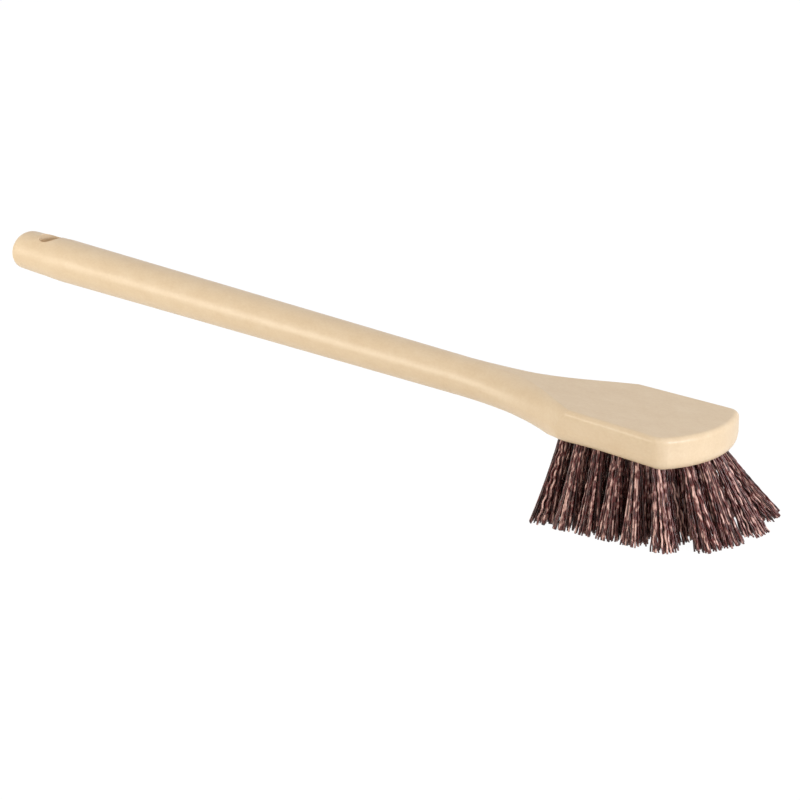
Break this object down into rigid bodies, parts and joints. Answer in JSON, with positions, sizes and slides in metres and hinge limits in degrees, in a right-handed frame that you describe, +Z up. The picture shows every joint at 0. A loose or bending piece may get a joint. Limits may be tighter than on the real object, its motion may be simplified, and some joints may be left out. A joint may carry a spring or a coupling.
{
  "type": "long-handled scrub brush",
  "caption": "Long-handled scrub brush with a moulded plastic handle and head in one piece, splayed tufts of crimped bristle held in blind holes by wire anchors, and a hang hole in the grip.",
  "frame": {"origin": "middle of the trimmed end of the middle tuft, on the plane the bristles stand on", "axes": "+X from the handle towards the nose, +Z up from the bristle ends to the head, +Y to the left of +X"},
  "size_m": [0.5092, 0.072, 0.0946],
  "materials": {
    "block_plastic": "cream structural foam plastic, matte, faintly mottled",
    "bristle": "maroon brown crimped filament, glossy",
    "anchor_wire": "bright flat wire"
  },
  "bodies": {
    "root": {"anchor_staples": "anchor_wire", "handle_block": "block_plastic", "tuft_row1_1": "bristle", "tuft_row1_2": "bristle", "tuft_row1_3": "bristle", "tuft_row1_4": "bristle", "tuft_row1_5": "bristle", "tuft_row1_6": "bristle", "tuft_row2_1": "bristle", "tuft_row2_2": "bristle", "tuft_row2_3": "bristle", "tuft_row2_4": "bristle", "tuft_row2_5": "bristle", "tuft_row2_6": "bristle", "tuft_row2_7": "bristle", "tuft_row3_1": "bristle", "tuft_row3_2": "bristle", "tuft_row3_3": "bristle", "tuft_row3_4": "bristle", "tuft_row3_5": "bristle", "tuft_row3_6": "bristle", "tuft_row3_7": "bristle", "tuft_row4_1": "bristle", "tuft_row4_2": "bristle", "tuft_row4_3": "bristle", "tuft_row4_4": "bristle", "tuft_row4_5": "bristle", "tuft_row4_6": "bristle", "tuft_row4_7": "bristle", "tuft_row5_1": "bristle", "tuft_row5_2": "bristle", "tuft_row5_3": "bristle", "tuft_row5_4": "bristle", "tuft_row5_5": "bristle", "tuft_row5_6": "bristle"}
  },
  "joints": []
}
